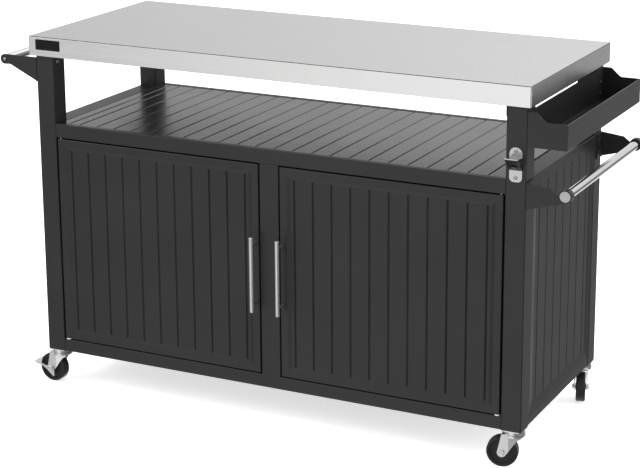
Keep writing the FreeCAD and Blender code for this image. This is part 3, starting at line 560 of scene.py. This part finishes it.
def addGroovedSheet(shape, place, width, length, look, finish):
    values = {
        "Width": width, "Length": length, "Columns": round(width / look["column"]),
        "First Groove": look["first"], "Pitch": look["pitch"], "Last Number": look["count"] - 1.0,
        "Extra Groove": look["extra"], "Groove Width": look["grooveWidth"],
        "Groove Depth": look["grooveDepth"], "Sheet": look["sheet"], "Finish": finish,
    }
    grown = growMesh("sheetGrower", bpy.data.meshes.new("sheetSeed"), grooveTree, values)
    grown.transform(place)
    shape.from_mesh(grown)


# Worktop: one folded sheet with a deep apron and an inward lip
worktopFold = {
    "line": [(0.045, 0.0006), (0.0006, 0.0006), (0.0006, 0.0484), (0.0096, 0.0484)],
    "bends": [0.0018, 0.0012], "sheet": 0.0012, "corner": 0.003, "cornerSteps": 6,
}


def makeWorktop():
    shape = bmesh.new()
    place = facing((cartMiddle.x, cartMiddle.y, topHigh.z), (1, 0, 0), (0, 1, 0))
    foldSheet(shape, place, topHigh.x - topLow.x, topHigh.y - topLow.y, worktopFold, closed=False)
    piece = settle(newPiece("foldedWorktop", shape, finishes["worktop_steel"]))
    standFor(piece, "tabletop")


# Grooved panels: a pressed sheet inside a folded rim
panelRim = {
    "line": [(0.0036, 0.0039), (0.0036, 0.0006), (0.0006, 0.0006), (0.0006, 0.0139)],
    "bends": [0.0007, 0.0012], "sheet": 0.0012, "corner": 0.0012, "cornerSteps": 2, "inset": 0.0029,
}
deckRim = dict(panelRim, line=panelRim["line"][:3] + [(0.0006, 0.0199)])
# Pressed grooves. An extra groove 9 m away is none.
pressing = {"grooveWidth": 0.0056, "grooveDepth": 0.0022, "sheet": 0.0012, "column": 0.0007, "extra": 9.0}
deckGrooves = dict(pressing, first=-0.538, pitch=0.0495, count=23, extra=-0.568)
sideGrooves = dict(pressing, first=-0.162, pitch=0.054, count=7)
backGrooves = dict(pressing, first=-0.539, pitch=0.049, count=23)


# Where a panel's face lies: its middle, and its width and height
def panelFace(node, right, up):
    low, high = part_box(node)
    outward = Vector(right).cross(Vector(up))
    centre = (low + high) / 2
    for axis in range(3):
        if abs(outward[axis]) > 0.5:
            centre[axis] = high[axis] if outward[axis] > 0 else low[axis]
    width = abs((high - low).dot(Vector(right)))
    height = abs((high - low).dot(Vector(up)))
    return facing(centre, right, up), width, height


def makePanel(node, name, right, up, rim, grooves):
    place, width, height = panelFace(node, right, up)
    shape = bmesh.new()
    foldSheet(shape, place, width, height, rim)
    inset = rim["inset"]
    addGroovedSheet(shape, place, width - 2 * inset, height - 2 * inset, grooves, nodeFinish(node))
    piece = settle(newPiece(name, shape, nodeFinish(node)), 50)
    standFor(piece, node)


# Side panels: the border curves in to the grooved field along the sides and the lower edge
sideRim = {
    "line": [
        (0.0266, 0.007), (0.0266, 0.0031), (0.0175, 0.0019), (0.0085, 0.001), (0.0006, 0.0006),
        (0.0006, 0.0139),
    ],
    "bends": [0.0007, 0.1, 0.1, 0.0012], "sheet": 0.0012, "corner": 0.0014, "cornerSteps": 3,
    "inset": 0.0257, "depth": 0.0025,
}


def makeSidePanel(side, rightY):
    node = side + "_side_panel"
    place, width, height = panelFace(node, (0, rightY, 0), (0, 0, 1))
    inset = sideRim["inset"]
    shape = bmesh.new()
    raised = place @ Matrix.Translation((0, inset, 0))
    foldSheet(shape, raised, width, height + 2 * inset, sideRim)
    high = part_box(node)[1]
    whole = shape.verts[:] + shape.edges[:] + shape.faces[:]
    cut = bmesh.ops.bisect_plane(shape, geom=whole, plane_co=high, plane_no=(0, 0, 1), clear_outer=True)
    rim = [item for item in cut["geom_cut"] if isinstance(item, bmesh.types.BMEdge)]
    bmesh.ops.holes_fill(shape, edges=rim)
    field = place @ Matrix.Translation((0, inset / 2, -sideRim["depth"]))
    addGroovedSheet(shape, field, width - 2 * inset, height - inset, sideGrooves, powderCoat)
    standFor(settle(newPiece(side + "GroovedPanel", shape, powderCoat), 50), node)


# Doors: a folded pan with a mitred step round a grooved field
doorFold = {
    "line": [
        (0.0275, 0.0066), (0.0275, 0.0036), (0.0183, 0.0006), (0.0006, 0.0006), (0.0006, 0.0174),
        (0.0138, 0.0174),
    ],
    "bends": [0.0007, 0.0009, 0.0014, 0.0012], "sheet": 0.0012, "corner": 0.0014, "cornerSteps": 3,
}
doorField = dict(pressing, inset=0.0265, depth=0.003, first=-0.245, pitch=0.049, count=11)
pinBlock = {"width": 0.0139, "depth": 0.0144, "height": 0.0118, "margin": 0.0006, "round": 0.0005}


def makeDoor(side, outwardX):
    node = side + "_door"
    low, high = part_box(node)
    centre = ((low.x + high.x) / 2, low.y, (low.z + high.z) / 2)
    place = facing(centre, (1, 0, 0), (0, 0, 1))
    shape = bmesh.new()
    foldSheet(shape, place, high.x - low.x, high.z - low.z, doorFold)
    field = place @ Matrix.Translation((0, 0, -doorField["depth"]))
    across = high.x - low.x - 2 * doorField["inset"]
    along = high.z - low.z - 2 * doorField["inset"]
    addGroovedSheet(shape, field, across, along, doorField, powderCoat)
    edge = high.x if outwardX > 0 else low.x
    rise = pinBlock["margin"] + pinBlock["height"] / 2
    for z in (low.z + rise, high.z - rise):
        x = edge - outwardX * (pinBlock["margin"] + pinBlock["width"] / 2)
        middle = Matrix.Translation((x, low.y + pinBlock["margin"] + pinBlock["depth"] / 2, z))
        size = Matrix.Diagonal((pinBlock["width"], pinBlock["depth"], pinBlock["height"], 1))
        block = bmesh.ops.create_cube(shape, size=1.0, matrix=middle @ size)["verts"]
        edges = list({edge for vert in block for edge in vert.link_edges})
        bmesh.ops.bevel(shape, geom=edges, offset=pinBlock["round"], segments=2, affect="EDGES", profile=0.5)
    piece = settle(newPiece(side + "DoorPan", shape, powderCoat), 50)
    standFor(piece, node)


makeWorktop()
makePanel("shelf_deck", "groovedDeck", (1, 0, 0), (0, 1, 0), deckRim, deckGrooves)
makeSidePanel("right", 1)
makeSidePanel("left", -1)
makePanel("back_panel", "backGroovedPanel", (-1, 0, 0), (0, 0, 1), panelRim, backGrooves)
makeDoor("left", -1)
makeDoor("right", 1)
print("worktop, panels and doors made")


# Blank plate on the apron: enamel inside a thin raised border
plateLook = {
    "corner": 0.002, "cornerSteps": 6,
    "ring": [(0.0, 0.0012), (0.0, 0.00025), (0.00025, 0.0), (0.0014, 0.0), (0.0017, 0.0003)],
}


def makeBlankPlate():
    low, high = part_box("badge_plate")
    shape = bmesh.new()
    place = facing(((low.x + high.x) / 2, low.y, (low.z + high.z) / 2), (1, 0, 0), (0, 0, 1))
    ring, corner, steps = plateLook["ring"], plateLook["corner"], plateLook["cornerSteps"]
    sweepRing(shape, place, high.x - low.x, high.z - low.z, ring, corner, steps, closed=False)
    standFor(settle(newPiece("blankApronPlate", shape, finishes["blank_plate"])), "badge_plate")


makeBlankPlate()


# Bent, turned and welded parts keep their CAD form, with their cut edges broken
thinEdges = {"round": 0.00035, "steps": 2, "sharpest": 38}
plateEdges = {"round": 0.0006, "steps": 3, "sharpest": 38}
tubeEdges = {"round": 0.0009, "steps": 3, "sharpest": 38}
softened = {
    "spice_tray": ("foldedSpiceTray", thinEdges), "corner_brackets": ("worktopAngles", thinEdges),
    "bottle_opener": ("bentBottleOpener", plateEdges), "centre_stile": ("foldedCentreStile", thinEdges),
    "cabinet_floor": ("cabinetFloorSheet", thinEdges), "floor_ledges": ("floorLedgeAngles", thinEdges),
    "door_catches": ("magneticCatches", plateEdges), "top_stiffeners": ("worktopStiffeners", thinEdges),
    "hinge_pins": ("doorPins", thinEdges), "hinge_washers": ("doorWashers", plateEdges),
    "towel_bar": ("towelBarTube", thinEdges), "towel_bar_caps": ("towelBarDiscs", plateEdges),
    "push_bar": ("pushBarTube", thinEdges), "side_bottom_rails": ("sideBottomTubes", thinEdges),
}
for end in ("front", "rear"):
    softened["towel_bracket_" + end] = (end + "TowelArm", plateEdges)
    softened["push_bracket_" + end] = (end + "PushGusset", plateEdges)
    softened[end + "_top_rail"] = (end + "TopTube", thinEdges)
    softened[end + "_bottom_rail"] = (end + "BottomTube", thinEdges)
for side in ("left", "right"):
    softened[side + "_top_rail"] = (side + "TopTube", thinEdges)
    softened[side + "_door_handle"] = (side + "HandleBar", plateEdges)
    softened[side + "_handle_screws"] = (side + "HandleScrews", thinEdges)
    softened[side + "_door_strike"] = (side + "StrikePlate", thinEdges)
for corner in casterNames:
    softened["post_" + corner] = (corner + "_foldedPost", thinEdges)
    softened["caster_mount_" + corner] = (corner + "_casterMount", thinEdges)
    softened["caster_fork_" + corner] = (corner + "_casterFork", thinEdges)
for corner in ("front_left", "rear_left"):
    softened["brake_pedal_" + corner] = (corner + "_brakePedal", tubeEdges)
for node, (name, edges) in softened.items():
    softenedCopy(node, name, edges)
print("sheet parts softened")


# Casters: a turned wheel with a rounded tread, a seam ring and a dished web.
# The face lists (radius, distance from the middle) in millimetres.
wheelLook = {
    "segments": 80, "radius": 0.0375, "half": 0.012, "shoulder": 0.004, "shoulderSteps": 6, "seed": 3,
    "face": [
        (31.7, 12.0), (31.4, 11.5), (30.8, 11.4), (30.2, 11.5), (29.9, 12.0), (29.2, 11.9), (28.6, 11.3),
        (28.2, 9.4), (27.4, 8.6), (22.8, 8.4), (22.3, 8.9), (21.4, 9.1), (20.5, 8.9), (20.0, 8.4),
        (12.6, 8.4), (11.7, 9.0), (11.2, 11.3), (10.7, 11.9), (9.6, 12.0), (9.2, 12.3), (9.0, 13.0),
        (8.6, 13.4), (4.3, 13.4), (4.1, 13.2),
    ],
}


def makeWheelTemplate():
    side = []
    shoulder, half, radius = wheelLook["shoulder"], wheelLook["half"], wheelLook["radius"]
    for step in range(wheelLook["shoulderSteps"] + 1):
        angle = math.radians(90 * step / wheelLook["shoulderSteps"])
        reach = radius - shoulder + shoulder * math.cos(angle)
        side.append((reach, half - shoulder + shoulder * math.sin(angle)))
    side += [(reach / 1000, out / 1000) for reach, out in wheelLook["face"]]
    profile = side + [(reach, -out) for reach, out in reversed(side)]
    shape = bmesh.new()
    rings = []
    for step in range(wheelLook["segments"]):
        angle = math.tau * step / wheelLook["segments"]
        rings.append([shape.verts.new((r * math.cos(angle), r * math.sin(angle), z)) for r, z in profile])
    for first, second in zip(rings, rings[1:] + rings[:1]):
        for i in range(len(profile)):
            j = (i + 1) % len(profile)
            shape.faces.new((first[i], second[i], second[j], first[j]))
    return newPiece("wheelTemplate", shape, finishes["wheel_rubber"])


def makeWheels():
    template = makeWheelTemplate()
    for corner in casterNames:
        joint = jointPlace["roll_" + corner]
        points = [(joint["pos_m"], joint["axis"], (1, 1, 1))]
        node = "caster_wheel_" + corner
        wheel = copiesAt(corner + "_casterWheel", template, points, nodeFinish(node), wheelLook["seed"])
        standFor(settle(wheel, 40), node)
    bpy.data.objects.remove(template)


makeWheels()
print("caster wheels made")


# Screws: domed heads with a cross or a six-sided recess, set where the CAD has them
headLook = {
    "segments": 32, "crossReach": 0.50, "crossHalf": 0.12, "hexReach": 0.50, "recess": 0.6, "taper": 0.8,
    "dome": [(1.0, 0.0), (1.0, 0.28), (0.94, 0.56), (0.82, 0.80), (0.70, 0.94), (0.60, 1.0)],
}


def makeHeadTemplate(name, kind):
    shape = bmesh.new()
    rings = []
    for reach, rise in headLook["dome"]:
        angles = [math.tau * i / headLook["segments"] for i in range(headLook["segments"])]
        rings.append([shape.verts.new((reach * math.cos(a), reach * math.sin(a), rise)) for a in angles])
    for lower, upper in zip(rings, rings[1:]):
        for i in range(len(lower)):
            j = (i + 1) % len(lower)
            shape.faces.new((lower[i], lower[j], upper[j], upper[i]))
    shape.faces.new(rings[0][::-1])
    if kind == "cross":
        arm, half = headLook["crossReach"], headLook["crossHalf"]
        quarter = [(arm, -half), (arm, half), (half, half)]
        outline = []
        for turn in range(4):
            c, s = (1, 0, -1, 0)[turn], (0, 1, 0, -1)[turn]
            outline += [(x * c - y * s, x * s + y * c) for x, y in quarter]
    else:
        angles = [math.tau * i / 6 for i in range(6)]
        outline = [(headLook["hexReach"] * math.cos(a), headLook["hexReach"] * math.sin(a)) for a in angles]
    mouth = [shape.verts.new((x, y, 1.0)) for x, y in outline]
    taper, floor = headLook["taper"], 1.0 - headLook["recess"]
    foot = [shape.verts.new((x * taper, y * taper, floor)) for x, y in outline]
    for i in range(len(mouth)):
        j = (i + 1) % len(mouth)
        shape.faces.new((mouth[i], mouth[j], foot[j], foot[i]))
    shape.faces.new(foot)
    rim = [edge for edge in shape.edges if edge.is_boundary]
    bmesh.ops.triangle_fill(shape, edges=rim, use_beauty=True, normal=(0, 0, 1))
    return newPiece(name, shape, finishes["fastener_steel"])


# Screws, by node: the piece's name, the way their heads face, head height and recess
screwSets = {
    "corner_bolts": ("worktopBolts", "inward", 0.0035, "hex"),
    "bottle_opener_screws": ("openerScrews", "front", 0.0024, "cross"),
    "push_bar_end_screws": ("pushBarScrews", "ends", 0.0024, "hex"),
    "tray_and_bracket_screws": ("trayAndBracketScrews", "sides", 0.0026, "cross"),
}


def headAim(way, centre):
    sx = 1 if centre.x > cartMiddle.x else -1
    sy = 1 if centre.y > cartMiddle.y else -1
    return {"inward": (-sx, 0, 0), "front": (0, -1, 0), "ends": (0, sy, 0), "sides": (sx, 0, 0)}[way]


def makeScrews():
    templates = {kind: makeHeadTemplate(kind + "Template", kind) for kind in ("cross", "hex")}
    for node, (name, way, height, kind) in screwSets.items():
        points = []
        solids = mergedCopy(node)
        for low, high in [boxAround(island) for island in islandsOf(solids)]:
            centre = (low + high) / 2
            aim = Vector(headAim(way, centre))
            span = high - low
            seat = centre + aim * (abs(span.dot(aim)) / 2 - height)
            radius = min(span[axis] for axis in range(3) if abs(aim[axis]) < 0.5) / 2
            points.append((seat, aim, (radius, radius, height)))
        solids.free()
        screws = copiesAt(name, templates[kind], points, nodeFinish(node), len(name))
        standFor(settle(screws, 35), node)
        print(name, len(points))
    for template in templates.values():
        bpy.data.objects.remove(template)


makeScrews()


# Floor, light and camera. A level is a grey at a place from far left, -1, to far right, 1.
studio = {
    "floorSize": 60.0, "floorGrey": 0.92, "floorGlow": 0.6, "worldStrength": 1.25, "horizon": 0.06,
    "skyLevels": [(-1.0, 0.6), (-0.62, 0.66), (-0.30, 0.88), (0.2, 0.92), (1.0, 0.7)],
    "lowLevels": [
        (-1, 0.4), (-0.57, 0.44), (-0.50, 0.98), (-0.36, 1.24), (0.05, 0.95), (0.34, 0.2), (1, 0.12),
    ],
}
lamps = {
    "keyLight": {"place": (-3.0, -2.6, 3.2), "target": (-0.2, 0, 0.5), "size": (2.6, 2.0), "watts": 70.0},
    "fillLight": {"place": (-1.6, -4.2, 1.6), "target": (-0.3, 0, 0.4), "size": (3.0, 1.6), "watts": 5.0},
    "sideLight": {"place": (3.8, 0.3, 1.6), "target": (0.6, 0, 0.5), "size": (4.0, 3.2), "watts": 72.0},
    "topLight": {"place": (0.3, 0.8, 4.0), "target": (0, 0.2, 0), "size": (6.0, 6.0), "watts": 85.0},
}
viewpoint = {
    "place": (2.04736, -4.031369, 1.81624), "yaw": 24.858, "pitch": 14.671, "roll": 0.165,
    "lens": 105.817, "sensor": 36.0, "shift": (-0.10, -0.13125),
}


def makeFloor():
    half = studio["floorSize"] / 2
    mesh = bpy.data.meshes.new("studioFloor")
    corners = [(-half, -half, 0), (half, -half, 0), (half, half, 0), (-half, half, 0)]
    mesh.from_pydata(corners, [], [(0, 1, 2, 3)])
    floor = bpy.data.objects.new("studioFloor", mesh)
    bpy.context.scene.collection.objects.link(floor)
    material, tree, inputs = newMaterial("paleFloor")
    cloud = noiseAt(tree, 0.6, 2.0)
    level = studio["floorGrey"]
    tree.links.new(blendColours(tree, cloud, grey(level - 0.01), grey(level + 0.01)), inputs["Base Color"])
    tree.links.new(remap(tree, cloud, 0.7, 0.8), inputs["Roughness"])
    inputs["Emission Color"].default_value = grey(1.0)
    inputs["Emission Strength"].default_value = studio["floorGlow"]
    mesh.materials.append(material)
    floor.visible_glossy = False


# A soft studio, pale all round above the floor. The floor hides what is below from all but reflections,
# which see it brightest in the middle and dark on the right.
def makeWorld():
    world = bpy.data.worlds.new("studio")
    bpy.context.scene.world = world
    world.use_nodes = True
    tree = world.node_tree
    direction = addNode(tree, "ShaderNodeTexCoord").outputs["Generated"]
    parts = addNode(tree, "ShaderNodeSeparateXYZ", {0: direction}).outputs
    place = mathNode(tree, "MULTIPLY_ADD", parts["X"], 0.5, 0.5)
    levels = []
    for stops in (studio["skyLevels"], studio["lowLevels"]):
        ramp = addNode(tree, "ShaderNodeValToRGB", {0: place})
        band = ramp.color_ramp.elements
        while len(band) < len(stops):
            band.new(0.5)
        for stop, (across, level) in zip(band, stops):
            stop.position = (across + 1) / 2
            stop.color = (level, level, level, 1)
        levels.append(ramp.outputs[0])
    above = remap(tree, parts["Z"], 0, 1, -studio["horizon"], studio["horizon"])
    sky = tree.nodes["Background"]
    tree.links.new(blendColours(tree, above, levels[1], levels[0]), sky.inputs["Color"])
    sky.inputs["Strength"].default_value = studio["worldStrength"]


def makeLamp(name, place, target, size, watts):
    lamp = bpy.data.lights.new(name, "AREA")
    lamp.shape = "RECTANGLE"
    lamp.size, lamp.size_y = size
    lamp.energy = watts
    holder = bpy.data.objects.new(name, lamp)
    bpy.context.scene.collection.objects.link(holder)
    holder.location = place
    holder.rotation_mode = "QUATERNION"
    holder.rotation_quaternion = (Vector(target) - Vector(place)).to_track_quat("-Z", "Y")


# The photograph's own viewpoint: a long lens from the right, looking a little down
def makeCamera():
    camera = bpy.data.cameras.new("camera")
    camera.sensor_width = viewpoint["sensor"]
    camera.lens = viewpoint["lens"]
    camera.shift_x, camera.shift_y = viewpoint["shift"]
    holder = bpy.data.objects.new("camera", camera)
    bpy.context.scene.collection.objects.link(holder)
    holder.location = cartMiddle + Vector(viewpoint["place"])
    turn = Matrix.Rotation(math.radians(viewpoint["yaw"]), 3, "Z")
    tilt = Matrix.Rotation(math.radians(90 - viewpoint["pitch"]), 3, "X")
    roll = Matrix.Rotation(math.radians(viewpoint["roll"]), 3, "Z")
    holder.rotation_euler = (turn @ tilt @ roll).to_euler()
    bpy.context.scene.camera = holder


makeFloor()
makeWorld()
for lampName, lampValues in lamps.items():
    makeLamp(lampName, **lampValues)
makeCamera()
bpy.context.scene.view_settings.view_transform = "Standard"
print("studio ready")
